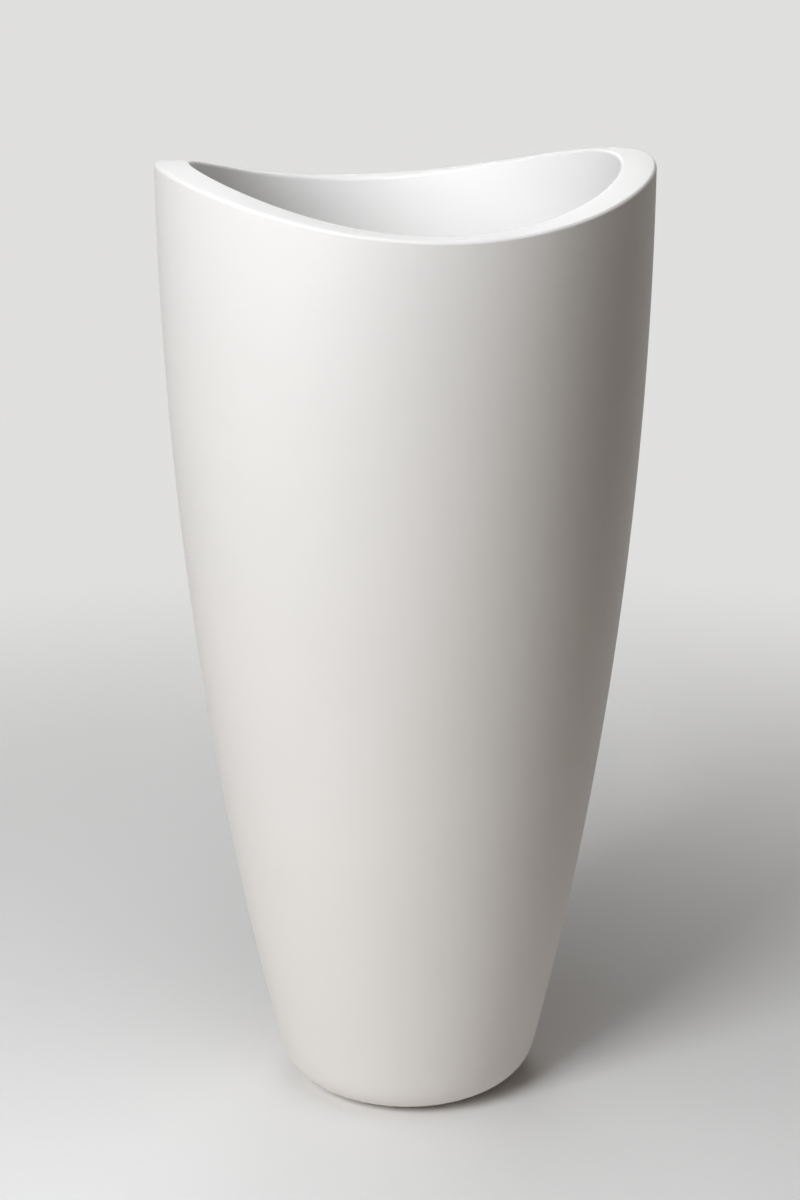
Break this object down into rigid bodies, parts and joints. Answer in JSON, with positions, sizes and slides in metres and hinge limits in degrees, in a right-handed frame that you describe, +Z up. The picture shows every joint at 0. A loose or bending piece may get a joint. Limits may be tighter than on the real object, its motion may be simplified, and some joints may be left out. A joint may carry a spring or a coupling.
{
  "type": "floor planter",
  "caption": "Tall tapered floor planter with a saddle-shaped rim and a lift-out liner that has folding handles, a water reservoir and a float gauge.",
  "frame": {"origin": "on the floor under the planter's centre", "axes": "+Z up; the rim's two tips lie along X and its two dips along Y; the fill tube is towards -Y"},
  "size_m": [0.4, 0.3996, 0.8],
  "materials": {
    "shell_white": "smooth matte white",
    "pad_rubber": "matte",
    "plug_rubber": "matte",
    "liner_grey": "matte",
    "bail_grey": "matte",
    "insert_black": "matte",
    "tube_grey": "satin",
    "gauge_red": "gloss"
  },
  "bodies": {
    "shell": {"shell": "shell_white", "foot_pads": "pad_rubber"},
    "base_plug": {"base_plug": "plug_rubber"},
    "liner": {"liner": "liner_grey", "separator": "insert_black", "wick_cup": "insert_black", "fill_tube": "tube_grey"},
    "front_bail": {"front_bail": "bail_grey"},
    "rear_bail": {"rear_bail": "bail_grey"},
    "cap": {"tube_cap": "tube_grey"},
    "gauge": {"gauge_float": "gauge_red"}
  },
  "joints": [
    {"name": "liner_lift", "type": "slide", "parent": "shell", "child": "liner", "axis": [0, 0, 1], "range_m": [0, 0.46]},
    {"name": "base_plug_pull", "type": "slide", "parent": "shell", "child": "base_plug", "axis": [0, 0, 1], "range_m": [0, 0.03]},
    {"name": "front_bail_swing", "type": "hinge", "parent": "liner", "child": "front_bail", "pos_m": [0, -0.01, 0.6918], "axis": [-1, 0, 0], "range_deg": [0, 90]},
    {"name": "rear_bail_swing", "type": "hinge", "parent": "liner", "child": "rear_bail", "pos_m": [0, 0.01, 0.6918], "axis": [1, 0, 0], "range_deg": [0, 90]},
    {"name": "cap_pull", "type": "slide", "parent": "liner", "child": "cap", "axis": [0, 0, 1], "range_m": [0, 0.06]},
    {"name": "float_rise", "type": "slide", "parent": "liner", "child": "gauge", "axis": [0, 0, 1], "range_m": [0, 0.05]}
  ]
}
